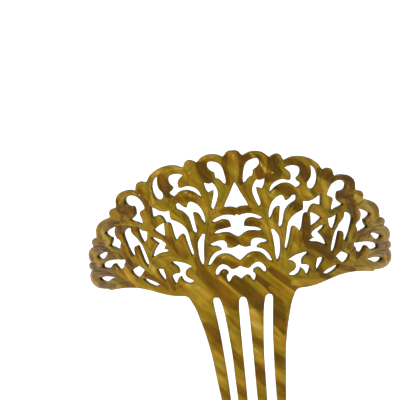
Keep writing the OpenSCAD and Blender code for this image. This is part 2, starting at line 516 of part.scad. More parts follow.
module heel_bar() { color("DarkGoldenrod") centre_piece(heel_bar_area); }
module heel_scallops() { color("Goldenrod") centre_piece(heel_scallops_area); }
module middle_curls() { color("DarkKhaki") centre_piece(middle_curls_area); }
module arch_bar() { color("Goldenrod") centre_piece(arch_bar_area); }
module crown_bud() { color("DarkKhaki") centre_piece(crown_bud_area); }
module tooth_1() { color("Peru") tooth_piece(tooth_1_area, LEFT); }
module tooth_2() { color("Peru") tooth_piece(tooth_2_area, LEFT); }
module tooth_3() { color("Peru") tooth_piece(tooth_3_area, RIGHT); }
module tooth_4() { color("Peru") tooth_piece(tooth_4_area, RIGHT); }
module left_lower_curl() { color("Olive") side_piece(lower_curl_area, LEFT); }
module right_lower_curl() { color("DarkGoldenrod") side_piece(lower_curl_area, RIGHT); }
module left_upper_curl() { color("Peru") side_piece(upper_curl_area, LEFT); }
module right_upper_curl() { color("Olive") side_piece(upper_curl_area, RIGHT); }
module left_lower_stem() { color("DarkKhaki") side_piece(lower_stem_area, LEFT); }
module right_lower_stem() { color("Peru") side_piece(lower_stem_area, RIGHT); }
module left_upper_stem() { color("Goldenrod") side_piece(upper_stem_area, LEFT); }
module right_upper_stem() { color("DarkKhaki") side_piece(upper_stem_area, RIGHT); }
module left_crown_arm() { color("SaddleBrown") side_piece(crown_arm_area, LEFT); }
module right_crown_arm() { color("Goldenrod") side_piece(crown_arm_area, RIGHT); }
module left_rim_lobe_1() { color("DarkGoldenrod") side_piece(rim_lobe_1_area, LEFT); }
module right_rim_lobe_1() { color("SaddleBrown") side_piece(rim_lobe_1_area, RIGHT); }
module left_rim_bud_1() { color("Olive") side_piece(rim_bud_1_area, LEFT); }
module right_rim_bud_1() { color("DarkGoldenrod") side_piece(rim_bud_1_area, RIGHT); }
module left_rim_lobe_2() { color("Peru") side_piece(rim_lobe_2_area, LEFT); }
module right_rim_lobe_2() { color("Olive") side_piece(rim_lobe_2_area, RIGHT); }
module left_bow_leaf() { color("DarkKhaki") side_piece(bow_leaf_area, LEFT); }
module right_bow_leaf() { color("Peru") side_piece(bow_leaf_area, RIGHT); }
module left_wing_root() { color("Goldenrod") side_piece(wing_root_area, LEFT); }
module right_wing_root() { color("DarkKhaki") side_piece(wing_root_area, RIGHT); }
module left_inner_rail() { color("SaddleBrown") side_piece(inner_rail_area, LEFT); }
module right_inner_rail() { color("Goldenrod") side_piece(inner_rail_area, RIGHT); }
module left_outer_rail() { color("DarkGoldenrod") side_piece(outer_rail_area, LEFT); }
module right_outer_rail() { color("SaddleBrown") side_piece(outer_rail_area, RIGHT); }
module left_wing_heart() { color("Olive") side_piece(wing_heart_area, LEFT); }
module right_wing_heart() { color("DarkGoldenrod") side_piece(wing_heart_area, RIGHT); }
module left_wing_scroll() { color("Peru") side_piece(wing_scroll_area, LEFT); }
module right_wing_scroll() { color("Olive") side_piece(wing_scroll_area, RIGHT); }
module left_rim_bud_2() { color("DarkKhaki") side_piece(rim_bud_2_area, LEFT); }
module right_rim_bud_2() { color("Peru") side_piece(rim_bud_2_area, RIGHT); }
module left_rim_lobe_3() { color("Goldenrod") side_piece(rim_lobe_3_area, LEFT); }
module right_rim_lobe_3() { color("DarkKhaki") side_piece(rim_lobe_3_area, RIGHT); }
module left_wing_vein() { color("SaddleBrown") side_piece(wing_vein_area, LEFT); }
module right_wing_vein() { color("Goldenrod") side_piece(wing_vein_area, RIGHT); }
module left_wing_spray() { color("DarkGoldenrod") side_piece(wing_spray_area, LEFT); }
module right_wing_spray() { color("SaddleBrown") side_piece(wing_spray_area, RIGHT); }
module left_rim_lobe_4() { color("Olive") side_piece(rim_lobe_4_area, LEFT); }
module right_rim_lobe_4() { color("DarkGoldenrod") side_piece(rim_lobe_4_area, RIGHT); }
module left_upper_tip() { color("Peru") side_piece(upper_tip_area, LEFT); }
module right_upper_tip() { color("Olive") side_piece(upper_tip_area, RIGHT); }
module left_lower_tip() { color("DarkKhaki") side_piece(lower_tip_area, LEFT); }
module right_lower_tip() { color("Peru") side_piece(lower_tip_area, RIGHT); }

heel_bar();
heel_scallops();
middle_curls();
arch_bar();
crown_bud();
tooth_1();
tooth_2();
tooth_3();
tooth_4();
left_lower_curl();
left_upper_curl();
left_lower_stem();
left_upper_stem();
left_crown_arm();
left_rim_lobe_1();
left_rim_bud_1();
left_rim_lobe_2();
left_bow_leaf();
left_wing_root();
left_inner_rail();
left_outer_rail();
left_wing_heart();
left_wing_scroll();
left_rim_bud_2();
left_rim_lobe_3();
left_wing_vein();
left_wing_spray();
left_rim_lobe_4();
left_upper_tip();
left_lower_tip();
right_lower_curl();
right_upper_curl();
right_lower_stem();
right_upper_stem();
right_crown_arm();
right_rim_lobe_1();
right_rim_bud_1();
right_rim_lobe_2();
right_bow_leaf();
right_wing_root();
right_inner_rail();
right_outer_rail();
right_wing_heart();
right_wing_scroll();
right_rim_bud_2();
right_rim_lobe_3();
right_wing_vein();
right_wing_spray();
right_rim_lobe_4();
right_upper_tip();
right_lower_tip();
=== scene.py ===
import json
import math

import bpy
import numpy as np
from mathutils import Matrix, Vector
from mathutils.bvhtree import BVHTree
from mathutils.geometry import delaunay_2d_cdt
from mathutils.kdtree import KDTree

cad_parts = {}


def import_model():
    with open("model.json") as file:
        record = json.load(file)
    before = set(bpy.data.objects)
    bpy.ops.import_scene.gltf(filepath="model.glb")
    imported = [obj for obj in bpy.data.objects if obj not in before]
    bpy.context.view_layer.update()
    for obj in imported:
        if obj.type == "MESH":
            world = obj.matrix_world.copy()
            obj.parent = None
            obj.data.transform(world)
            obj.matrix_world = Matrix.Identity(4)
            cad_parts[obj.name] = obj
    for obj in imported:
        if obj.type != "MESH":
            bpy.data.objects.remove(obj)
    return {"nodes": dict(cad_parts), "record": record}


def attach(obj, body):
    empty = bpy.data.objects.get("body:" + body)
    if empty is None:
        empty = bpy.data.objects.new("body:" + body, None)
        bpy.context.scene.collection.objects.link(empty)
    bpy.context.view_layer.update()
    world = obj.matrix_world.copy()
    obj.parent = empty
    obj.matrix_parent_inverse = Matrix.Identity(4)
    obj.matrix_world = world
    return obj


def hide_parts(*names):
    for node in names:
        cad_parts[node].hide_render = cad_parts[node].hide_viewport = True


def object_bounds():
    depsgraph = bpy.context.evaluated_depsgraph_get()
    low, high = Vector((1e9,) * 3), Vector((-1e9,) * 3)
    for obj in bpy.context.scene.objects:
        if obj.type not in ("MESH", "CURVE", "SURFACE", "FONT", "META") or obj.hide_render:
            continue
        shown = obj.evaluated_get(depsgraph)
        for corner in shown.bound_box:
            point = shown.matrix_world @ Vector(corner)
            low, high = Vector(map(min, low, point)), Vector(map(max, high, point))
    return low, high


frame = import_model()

cad_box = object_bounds()

# The frame is in metres. The comb's measures are in mm, as in the CAD: the front face's bend and the
# sheet's thickness here, and (s, z) for a point of the unrolled sheet, arc length and height.
MM = 0.001
BEND_R = 95.0
SHEET_T = 3.0

# Reading the frame: how deep a vertex of the front face may seem to lie, how near two pieces are
# neighbours, how far beyond a rim edge a neighbour is looked for, and the samples along the outline
ON_FRONT = 0.02
NEIGHBOUR_REACH = 0.5
SEAM_PROBE = 0.03
OUTLINE_SAMPLE = 0.05

# Rounded edges of the sheet, and a soft fall (width, drop) from the middle of each limb to its edge
FRONT_ROUND = 0.75
FRONT_ROUND_SHARE = 0.75
FRONT_FALL = (3.0, 0.45)
TOOTH_EXTRA_FALL = 0.25
BACK_ROUND = 0.45
BACK_ROUND_SHARE = 0.8
BACK_FALL = (2.6, 0.08)
TEETH_TOP = 1.0
TEETH_BLEND = 8.0
# How far in from the outline the painted shade on the walls and edges reaches
RIM_SHADE_REACH = 0.6

# Meshing
EDGE_STEP = 0.42
LATTICE_STEP = 0.42
LATTICE_MARGIN = 0.25
RING_OFFSETS = (0.13, 0.34, 0.66)
RING_SLACK = 0.03
POINT_GAP = 0.11
MERGE_GAP = 1e-5
# Triangles with less than this doubled area, in mm2, lie flat along the rim and are left out
SLIVER = 1e-4
# How much the walls count in the shared normals, and how near the outline a wall has to be
WALL_WEIGHT = 0.2
WALL_REACH = 0.05


# ---------------------------------------------------------------- reading the frame
def unrolled(vertex):
    """A CAD vertex as (arc length, height, depth under the front face), in mm."""
    x, y, z = vertex.x / MM, vertex.y / MM, vertex.z / MM
    radius = math.hypot(x, y - BEND_R)
    return BEND_R * math.atan2(x, BEND_R - y), z, BEND_R - radius


def flat_key(s, z):
    """Points of the unrolled sheet with the same key, to 0.001 mm, are one point."""
    return round(s, 3), round(z, 3)


def front_patch(obj):
    """The node's front face: points (s, z) on the unrolled sheet, and triangles."""
    mesh = obj.data
    mesh.calc_loop_triangles()
    flat = [unrolled(obj.matrix_world @ v.co) for v in mesh.vertices]
    ids, points, triangles = {}, [], []
    for tri in mesh.loop_triangles:
        if all(flat[i][2] < ON_FRONT for i in tri.vertices):
            corners = []
            for i in tri.vertices:
                s, z, _ = flat[i]
                key = flat_key(s, z)
                if key not in ids:
                    ids[key] = len(points)
                    points.append((s, z))
                corners.append(ids[key])
            if len(set(corners)) == 3:
                triangles.append(corners)
    return points, triangles


def rim_edges(triangles):
    """Edges used by one triangle only, directed so that the material is on the left."""
    seen = {}
    for a, b, c in triangles:
        for edge in ((a, b), (b, c), (c, a)):
            key = tuple(sorted(edge))
            seen.setdefault(key, []).append(edge)
    return [edges[0] for edges in seen.values() if len(edges) == 1]


def counter_clockwise(points, tri):
    """The triangle, turned round if its corners run clockwise."""
    (ax, az), (bx, bz), (cx, cz) = (points[i] for i in tri)
    return tri if (bx - ax) * (cz - az) - (bz - az) * (cx - ax) > 0 else [tri[0], tri[2], tri[1]]


def flat_tree(points, triangles):
    return BVHTree.FromPolygons([(s, z, 0.0) for s, z in points], triangles)


def is_inside(tree, s, z):
    """Whether the point lies on the patch, which a ray straight down then hits."""
    return tree.ray_cast((s, z, 1.0), (0, 0, -1), 2.0)[0] is not None


patches = {}
for name, node in frame["nodes"].items():
    points, triangles = front_patch(node)
    triangles = [counter_clockwise(points, tri) for tri in triangles]
    patches[name] = {
        "points": points,
        "edges": rim_edges(triangles),
        "tree": flat_tree(points, triangles),
        "low": (min(p[0] for p in points), min(p[1] for p in points)),
        "high": (max(p[0] for p in points), max(p[1] for p in points)),
    }


def boxes_meet(first, second):
    return all(
        first["low"][k] < second["high"][k] + NEIGHBOUR_REACH
        and second["low"][k] < first["high"][k] + NEIGHBOUR_REACH
        for k in (0, 1)
    )


def neighbours(name):
    return [
        patch["tree"]
        for other, patch in patches.items()
        if other != name and boxes_meet(patch, patches[name])
    ]


def split_rim(name):
    """The node's rim as directed short segments: the cut outline, and the seams to its neighbours."""
    patch = patches[name]
    near = neighbours(name)
    outline, seams = [], []
    for a, b in patch["edges"]:
        p, q = Vector(patch["points"][a]), Vector(patch["points"][b])
        along = q - p
        outward = Vector((along.y, -along.x)).normalized()
        beyond = (p + q) / 2 + outward * SEAM_PROBE
        met = any(is_inside(tree, beyond.x, beyond.y) for tree in near)
        (seams if met else outline).append((p, q))
    return outline, seams


rims = {name: split_rim(name) for name in patches}


def sampled_outline():
    """Close samples along the cut outline of the whole comb, to measure distances from."""
    samples = []
    for outline, _ in rims.values():
        for p, q in outline:
            count = max(1, int((q - p).length / OUTLINE_SAMPLE))
            samples += [p.lerp(q, (k + 0.5) / count) for k in range(count)]
    tree = KDTree(len(samples))
    for i, p in enumerate(samples):
        tree.insert((p.x, p.y, 0.0), i)
    tree.balance()
    return tree


outline_tree = sampled_outline()


def to_outline(s, z):
    return outline_tree.find((s, z, 0.0))[2]


# ---------------------------------------------------------------- the carved relief
# Points are (x, z) in the front view.
# Carved steps on the right half, which the left half mirrors: (width, depth, points). Each has a
# short steep side and a long soft one, so that a leaf seems to lie on the next. The soft side is on
# the left of the way the points run, or on the right where the width is negative.
CARVED_STEPS = [
    # flutes of the crown bud
    (-1.3, 0.60, [(0.9, 61), (1.5, 66), (1.1, 74.4)]),
    (-1.4, 0.60, [(3.4, 60), (3.7, 65), (3.2, 73)]),
    # from the notches of the rim inwards
    (-1.8, 0.55, [(4.9, 72.6), (5.3, 70), (4.2, 66.4), (3.8, 62)]),
    (2.2, 0.70, [(17.6, 70.8), (16.9, 66), (15.7, 61), (15.2, 55)]),
    (-2.0, 0.60, [(25.4, 68), (23.4, 66), (22.4, 62), (23.6, 59.4)]),
    (2.2, 0.70, [(44.6, 60.2), (43.2, 57), (43.0, 52.6), (44.8, 47)]),
    (-1.8, 0.55, [(51.4, 55.2), (50.2, 53.9), (47.4, 52.6)]),
    (2.0, 0.65, [(62.2, 45.2), (59.6, 43.8), (56.5, 43.4), (53.6, 44.8)]),
    (-2.0, 0.65, [(66.2, 39.4), (62.8, 37.6), (59.6, 37.8), (56.6, 39.8)]),
    (2.0, 0.60, [(74.5, 26.9), (71, 26.4), (66.8, 27.4)]),
    (-1.6, 0.55, [(76.9, 21.4), (74, 22.4), (70, 22.8), (65, 21.2)]),
    (1.6, 0.55, [(79.4, 12.1), (76.6, 12.5), (73.4, 13.8)]),
    (-1.6, 0.50, [(79.3, 7.2), (76, 8.4), (71.6, 9.4), (66.4, 10)]),
    (1.8, 0.50, [(70.4, 0), (66.4, 3.4), (61, 6), (55.4, 7.4)]),
    # ribs of the lobes
    (1.8, 0.45, [(6.4, 71.4), (9.6, 72.6), (13.6, 70.6), (15.0, 66.6), (12.8, 62)]),
    (-1.6, 0.40, [(9.8, 72.8), (11.4, 69), (14.4, 64), (17.6, 57.4)]),
    (1.6, 0.40, [(19.6, 70.4), (20.6, 67), (22.4, 62)]),
    (-2.2, 0.50, [(27, 67.6), (31.6, 67.6), (36, 65.2), (37.6, 61.4), (36.2, 55.8)]),
    (1.8, 0.45, [(37.6, 65.4), (40.9, 62), (43, 57.8), (42, 50)]),
    (2.0, 0.50, [(52, 54.6), (56.6, 52.8), (59.4, 49.4), (58.2, 44.8)]),
    (-1.8, 0.45, [(52.6, 46.4), (56.8, 44), (59, 39), (59.8, 30)]),
    (2.0, 0.50, [(65, 38), (70, 34.8), (71.9, 30.8), (70.2, 26.6)]),
    (1.8, 0.45, [(66.4, 18.6), (67.8, 21), (71.4, 21.4), (75.6, 18.8), (77.8, 15)]),
    (1.6, 0.45, [(65.6, 9), (69, 9), (74, 7.4), (77.4, 4.4), (76.4, 0.8)]),
    # bow leaf and wing root
    (2.2, 0.60, [(17, 50.4), (20.6, 54.4), (25.6, 55), (30, 51.8), (32.4, 46)]),
    (-1.6, 0.45, [(29.8, 55.4), (32.4, 52.6), (34, 48), (38, 47.6)]),
    (1.8, 0.50, [(23.4, 36), (25, 40.6), (28.6, 44.4), (32, 46.8)]),
    (1.8, 0.50, [(16.9, 40), (18.2, 43.6), (20.4, 45.4)]),
    (-1.8, 0.50, [(24, 19.6), (26.6, 25), (28.4, 30), (28, 34.4)]),
    (1.8, 0.50, [(29, 20.6), (31.6, 26), (33.4, 31), (34.2, 40)]),
    # stems and curls
    (-1.8, 0.50, [(20, 10), (21.4, 19), (22, 27), (21.4, 33), (18.6, 38), (18.4, 43)]),
    (1.6, 0.45, [(17.2, 18), (16.8, 27), (15.6, 34), (14.2, 41), (13.2, 50), (14.4, 58)]),
    (1.4, 0.45, [(3.6, 39.6), (7, 40.6), (10.4, 38.6), (14, 35.4)]),
    (1.4, 0.45, [(1.2, 32), (5, 34.4), (10.2, 32.4), (15, 27)]),
    (1.2, 0.35, [(9.4, 27), (12, 28), (15.4, 24.6)]),
    (1.6, 0.45, [(1.4, 18.8), (4.4, 21.6), (9, 21.6), (13, 17.6), (15.4, 12.6)]),
    (1.0, 0.35, [(6.2, 12.6), (8, 14.4), (10.6, 13), (12.4, 9)]),
    (-1.2, 0.35, [(0, 46), (5, 45.8), (10.8, 44.4), (14.6, 40)]),
    (1.4, 0.40, [(4.8, 58.6), (5.2, 54), (8.2, 48.8), (11.8, 45)]),
    # the scroll beside the heel and the wing
    (-1.6, 0.50, [(22.6, 17.4), (26.2, 16.6), (27.4, 13), (25, 10.6)]),
    (1.6, 0.50, [(30.2, 14.4), (32.4, 17.8), (36.6, 17.4), (38.4, 13), (36.6, 8)]),
    (1.4, 0.45, [(24, 8.4), (28, 8.2), (33, 5.6), (41, 4.4)]),
    (-2.0, 0.55, [(30, 22.2), (36, 22.6), (41.6, 20.6), (46, 14.6)]),
    (2.0, 0.50, [(37, 42.6), (41, 41.4), (44.4, 37.6), (46.2, 31.6), (44.8, 23)]),
    (-1.6, 0.45, [(36.4, 31.4), (40.6, 30), (44, 26.4), (46.2, 20)]),
    (1.8, 0.50, [(49, 38.6), (52.4, 37), (52.4, 33), (49.4, 28.4), (46.6, 21)]),
    (-1.6, 0.45, [(51.6, 26.6), (52.4, 23), (51, 17.6)]),
    (1.6, 0.45, [(57.6, 28), (58.4, 23), (55.4, 17.4), (53, 14.6)]),
    (1.8, 0.50, [(49.6, 10.8), (54, 12.8), (58.6, 15), (62, 21), (66.4, 20.6)]),
    (-1.6, 0.45, [(58.6, 9.6), (61.4, 12.4), (65.4, 14.4)]),
    (1.6, 0.40, [(44.4, 10.6), (46.4, 11.8), (49.6, 11)]),
]
# All steps' depths are multiplied by this
CARVING = 1.6
STEEP_SIDE = 0.45
STEEP_CURVE = 2
SOFT_CURVE = 1.5
CARVED_END = 0.03
# How wide the band of painted shade is along each step's steep side
CREASE_SHADE_WIDTH = 1.6 * STEEP_SIDE
# Gouged hollows in the middle of the leaves, mirrored too: (half width, depth, points)
HOLLOWS = [
    (1.3, 0.55, [(2.2, 62), (2.7, 67), (2.1, 73)]),
    (2.6, 0.70, [(12.6, 70.4), (13.2, 66), (12.4, 62)]),
    (2.2, 0.60, [(20.6, 69), (20.2, 65), (18.8, 60.6)]),
    (1.6, 0.45, [(30, 66.6), (33.4, 65.2)]),
    (2.7, 0.75, [(34.2, 64), (35.6, 60.6), (35.6, 56.4)]),
    (1.6, 0.50, [(40.4, 64.4), (42, 60), (42.4, 54)]),
    (2.0, 0.55, [(47.0, 58.4), (45.6, 55.4)]),
    (1.8, 0.55, [(55.2, 54), (57.8, 51.4), (58, 47)]),
    (2.4, 0.65, [(53, 45.6), (56.4, 43.6), (58.4, 39)]),
    (1.8, 0.50, [(62.8, 43.4), (60.6, 41.2)]),
    (1.8, 0.55, [(67.6, 36), (70.6, 32.6), (70.6, 28.6)]),
    (1.4, 0.45, [(72.6, 24.8), (69, 25)]),
    (1.6, 0.50, [(71.6, 19.6), (75.4, 17.4), (77, 14.8)]),
    (1.4, 0.45, [(76.4, 9.8), (72.4, 11.4)]),
    (1.6, 0.50, [(73.4, 5.8), (76.4, 3.4)]),
    (2.2, 0.65, [(20.8, 54.6), (25, 53), (28.8, 49.6)]),
    (1.8, 0.50, [(31.6, 51), (35.4, 50.4), (39, 49.4)]),
    (1.8, 0.55, [(25.2, 38.6), (27.4, 43), (30.6, 45)]),
    (1.2, 0.45, [(18.2, 39.6), (19.6, 43.6)]),
    (1.6, 0.50, [(33.6, 38.4), (33.4, 32), (34, 27)]),
    (1.8, 0.55, [(26.2, 23), (27.2, 28), (27, 32)]),
    (1.6, 0.50, [(5.4, 56.4), (6.8, 52), (9, 48)]),
    (1.5, 0.50, [(5, 38.8), (8, 38.8), (11.4, 36)]),
    (1.5, 0.50, [(3, 31.4), (6.4, 32.4), (11, 30.4)]),
    (1.5, 0.50, [(3.2, 17.8), (6.8, 19.8), (11, 17.6)]),
    (1.0, 0.35, [(8.2, 12.8), (10.2, 10.8)]),
    (1.6, 0.50, [(24.4, 15.4), (25.6, 13.4), (24.6, 12)]),
    (1.8, 0.55, [(32.6, 15.6), (35.4, 15), (36.6, 11.6)]),
    (1.8, 0.55, [(35, 21), (40, 19.4), (44, 15.4)]),
    (1.6, 0.50, [(38, 40.6), (41.6, 39), (44, 35)]),
    (1.6, 0.50, [(50.6, 37.4), (51, 34), (49, 30.4)]),
    (1.4, 0.45, [(50.6, 25.4), (50.8, 21.4), (49.6, 17.6)]),
    (1.4, 0.45, [(57, 26.4), (57.4, 22), (55, 17.6)]),
    (1.6, 0.50, [(53.4, 10.6), (57.8, 12.6), (61.6, 14.6)]),
    (1.6, 0.45, [(47, 5.6), (54, 5.8), (61, 3.8)]),
]
# Small beads, each in a cut ring, with a painted glint on the bead and painted shade in the cut, and
# the rings and spacing of the points that they are meshed with
BEADS = [(19.0, 62.3), (52.7, 55.4), (-21.8, 65.0), (-22.3, 53.9), (-48.0, 53.3)]
BEAD_RADIUS = 0.6
BEAD_CUT = 0.45
BEAD_DEPTH = 0.5
BEAD_GLINT_TONE = 2.0
BEAD_RINGS = 8
BEAD_STEP = 0.17

# Marbling, not mirrored, with two light strokes that are painted highlights: (tone, half width,
# points). Tone runs from -1, the darkest brown, to 1, the lightest gold. The soft edge and the ends
# are shares of the width and length.
STREAK_EDGE = 0.5
STREAK_END = 0.22
STREAK_COVER = 0.9
STREAKS = [
    # broad darker zones of the two wings
    (-0.35, 16.0, [(-76, 14), (-56, 30)]), (-0.4, 9.0, [(38, 21), (60, 17)]),
    (-0.3, 6.0, [(66, 14), (76, 6)]),
    # teeth, from left to right
    (0.3, 4.0, [(-21, -1), (-16, -10)]), (-0.6, 3.8, [(-19, -14), (-12, -23)]),
    (-0.35, 1.2, [(-17, -23), (-12, -30)]), (0.35, 3.0, [(-16, -29), (-12, -37)]),
    (-0.3, 2.0, [(-17, -36), (-12, -40)]), (0.35, 2.4, [(-15, -42), (-12, -47)]),
    (-0.5, 3.0, [(-15, -49), (-11, -54)]), (-0.48, 2.6, [(-14, -63), (-11, -68)]),
    (-0.61, 4.0, [(-12, 2), (-4, -4)]), (0.4, 1.6, [(-9.5, -5), (-7.5, -10)]),
    (-0.48, 1.2, [(-8, -9), (-3, -16)]), (0.35, 3.4, [(-6, -17), (-3.5, -27)]),
    (-0.54, 3.0, [(-7.5, -28), (-2, -37)]), (0.4, 2.4, [(-6, -40), (-3, -45)]),
    (-0.48, 2.2, [(-7, -47), (-2, -52)]), (0.4, 2.4, [(-5, -57), (-3, -62)]),
    (-0.68, 3.4, [(2, 2), (9, -6)]), (0.75, 3.6, [(4, -8), (8, -20)]),
    (-0.54, 1.8, [(3, -21), (9, -27)]), (0.55, 2.0, [(4, -28), (8, -34)]),
    (-0.65, 3.8, [(3, -36), (9, -46)]), (-0.2, 2.0, [(3, -50), (8, -54)]),
    (-0.54, 2.6, [(3, -60), (7, -66)]), (-0.85, 5.0, [(16, 0), (18, -19)]),
    (0.25, 1.2, [(15, -17), (19, -24)]), (0.4, 2.6, [(15, -23), (19, -29)]),
    (-0.7, 3.6, [(14, -33), (20, -39)]), (0.45, 2.2, [(14, -41), (19, -46)]),
    (-0.8, 4.2, [(13, -48), (19, -54)]), (0.35, 2.4, [(14, -60), (17, -64)]),
    # the heel
    (-0.95, 4.4, [(-8, 14), (10, -4)]), (-0.8, 4.6, [(-20, 14), (-3, -3)]),
    (-0.85, 2.8, [(5, 12), (18, -1)]), (-0.7, 3.2, [(11, 16), (26, 2)]),
    (0.5, 0.8, [(5, 10), (9, 6), (14, 0)]), (0.55, 0.8, [(12, 13), (19, 6), (27, -1)]),
    (0.5, 0.8, [(-11, 11), (-5, 5), (1, -1)]), (-0.8, 3.2, [(-21, 21), (-17, 11), (-12, 6)]),
    (0.3, 3.0, [(-24, 6), (-18, 1)]), (0.5, 2.6, [(26, 5), (40, 3)]), (0.3, 1.6, [(14, 4), (22, -4)]),
    # middle and crown
    (-0.9, 2.4, [(-7, 45), (6, 45)]), (-0.95, 2.8, [(3, 39), (10, 37)]),
    (-0.95, 2.8, [(-3, 39), (-10, 37)]), (0.5, 1.2, [(10, 42), (14, 36), (16, 26)]),
    (-0.85, 3.0, [(-5, 31), (-1, 28)]), (-0.4, 1.6, [(2, 33), (12, 32)]),
    (-0.7, 2.8, [(-12, 20), (-2, 17)]), (-0.4, 2.0, [(2, 17), (8, 21)]),
    (0.35, 1.6, [(8, 19), (14, 15)]), (-0.95, 1.9, [(3.2, 59), (4.2, 68), (3, 77)]),
    (-0.85, 1.9, [(-3.2, 59), (-4.0, 68), (-3, 77)]), (0.6, 0.9, [(0.8, 60), (1.4, 68), (0.4, 73)]),
    (-0.6, 1.4, [(-1, 75.5), (2, 75.5)]), (0.5, 1.6, [(13, 56), (16, 44), (17, 34), (20, 20)]),
    (0.3, 2.0, [(22, 34), (22, 20)]), (-0.5, 1.6, [(-20, 38), (-21, 24), (-19, 16)]),
    (-0.4, 1.6, [(-14, 34), (-18, 20)]),
    # right fan
    (-0.8, 2.8, [(4, 71), (9, 71)]), (-0.8, 3.2, [(12, 70), (13, 61)]),
    # the first stroke here, a light line along a ridge, is a painted highlight
    (0.7, 1.0, [(9, 73), (15, 65), (18, 56)]), (-1.0, 4.0, [(19, 70), (21, 62), (17, 60)]),
    (0.4, 1.8, [(23, 66), (27, 60)]), (-0.7, 2.2, [(26, 67), (32, 66)]),
    (0.3, 1.2, [(31, 69), (38, 63)]), (-1.0, 3.4, [(33, 64), (36, 57)]),
    (0.6, 2.2, [(40, 66), (42, 58), (45, 50), (45, 41)]), (0.5, 3.0, [(31, 53), (37, 49)]),
    (-0.8, 1.4, [(38, 50), (41, 46)]), (-1.0, 3.0, [(20, 56), (25, 53), (29, 49)]),
    (0.5, 1.8, [(17, 52), (20, 50)]), (-1.0, 2.8, [(27, 46), (33, 41)]),
    (0.4, 2.0, [(24, 43), (26, 37)]), (-0.4, 1.8, [(18, 45), (20, 38)]),
    (-1.0, 3.2, [(33, 41), (34, 33), (34, 25)]), (0.4, 2.8, [(28, 33), (28, 22)]),
    (-1.0, 3.4, [(35, 23), (42, 20), (46, 14)]), (-0.5, 2.2, [(45, 28), (45, 18)]),
    (0.3, 2.6, [(38, 42), (45, 36)]), (-0.6, 2.2, [(47, 38), (52, 38)]),
    (-0.6, 2.0, [(50, 26), (51, 18)]), (0.5, 1.6, [(56, 28), (57, 20)]),
    (0.4, 1.8, [(54, 16), (58, 9)]), (-1.0, 3.8, [(43, 59), (49, 55), (56, 54), (60, 48)]),
    (-1.0, 4.2, [(51, 46), (57, 44), (59, 31)]), (0.6, 2.8, [(61, 42), (67, 35), (71, 27)]),
    (-0.6, 1.4, [(72, 36), (74, 29)]), (-0.9, 2.8, [(60, 23), (68, 20)]),
    (-1.0, 2.4, [(60, 11), (65, 15)]), (-0.6, 1.8, [(66, 31), (64, 24)]),
    (0.5, 2.4, [(70, 24), (76, 19), (78, 14)]), (-0.8, 1.6, [(70, 16), (79, 9)]),
    (-0.8, 1.6, [(40, 6), (45, 4)]), (-0.8, 2.0, [(49, 9), (58, 4)]), (-0.7, 1.6, [(69, 6), (75, 3)]),
    (0.5, 1.8, [(60, 4), (70, 1)]), (-0.8, 2.0, [(38, 12), (41, 7)]), (0.3, 2.2, [(32, 16), (36, 12)]),
    (0.5, 1.6, [(76, 6), (77, 1)]),
    # left fan
    (-1.0, 4.0, [(-16, 69), (-12, 60)]), (0.5, 1.4, [(-18, 71), (-8, 74)]),
    # the second stroke here, light along the edges of the lobes, is a painted highlight
    (-0.9, 4.2, [(-36, 62), (-33, 55)]), (0.5, 1.2, [(-26, 68), (-38, 65), (-42, 58), (-41, 50)]),
    (0.4, 1.4, [(-24, 64), (-18, 54), (-14, 46)]), (-0.6, 2.0, [(-28, 52), (-20, 51)]),
    (0.4, 1.4, [(-30, 46), (-24, 40), (-23, 32)]), (-0.5, 2.0, [(-26, 44), (-24, 36)]),
    (-0.8, 2.6, [(-48, 55), (-44, 46), (-41, 38)]), (-1.0, 4.6, [(-60, 47), (-50, 42)]),
    (0.2, 1.4, [(-56, 53), (-59, 48)]), (-0.8, 4.5, [(-73, 21), (-66, 16), (-69, 10)]),
    (-0.8, 2.4, [(-66, 36), (-58, 36), (-50, 35)]), (-0.6, 2.4, [(-36, 32), (-27, 22)]),
    (0.4, 1.4, [(-60, 31), (-57, 24)]), (0.3, 2.6, [(-70, 31), (-67, 25)]),
    (-1.0, 2.0, [(-72, 24), (-64, 19)]), (0.5, 1.8, [(-50, 24), (-44, 14)]),
    (-0.9, 2.4, [(-58, 18), (-48, 12), (-38, 6)]), (0.5, 2.0, [(-59, 13), (-54, 6), (-46, 3)]),
    (-0.9, 3.2, [(-78, 10), (-66, 8), (-56, 4)]), (-0.8, 2.4, [(-74, 1), (-66, 3)]),
    (0.3, 2.2, [(-77, 18), (-74, 12)]), (0.3, 2.2, [(-38, 22), (-30, 20)]),
    (-0.6, 1.6, [(-38, 12), (-34, 5)]), (0.4, 1.8, [(-30, 8), (-22, 6)]),
    (-0.3, 2.0, [(-46, 6), (-38, 4)]),
]
# Painted highlights along the ridges of the left fan's front: (tone, half width, points)
PAINTED_RIDGE_HIGHLIGHTS = [
    (0.3, 0.6, [(-62, 36.4), (-54, 37.4), (-47, 35)]),
    (0.35, 0.6, [(-52, 24), (-49, 17), (-45, 12)]),
    (0.35, 0.6, [(-60, 13), (-56, 7), (-50, 4)]),
    (0.35, 0.6, [(-33, 45), (-27, 40), (-24, 31)]),
    (0.45, 0.6, [(-43, 58), (-40, 65), (-33, 69), (-26, 69)]),
    (0.4, 0.5, [(-49, 57), (-46, 60), (-43, 58)]),
    (0.35, 0.6, [(-40, 48), (-35, 46), (-30, 48)]),
    (0.35, 0.6, [(-30, 56), (-26, 57.5), (-20, 55), (-16, 48), (-14, 42)]),
]

# Fields over the unrolled sheet, on a fine grid, which the pieces read
FIELD_LOW = (-100.0, -85.0)
FIELD_HIGH = (100.0, 82.0)
FIELD_STEP = 0.1
FIELD_SHAPE = tuple(int((high - low) / FIELD_STEP) + 1 for low, high in zip(FIELD_LOW, FIELD_HIGH))
CURVE_STEP = 0.6


def arc_length(x):
    return BEND_R * math.asin(x / BEND_R)


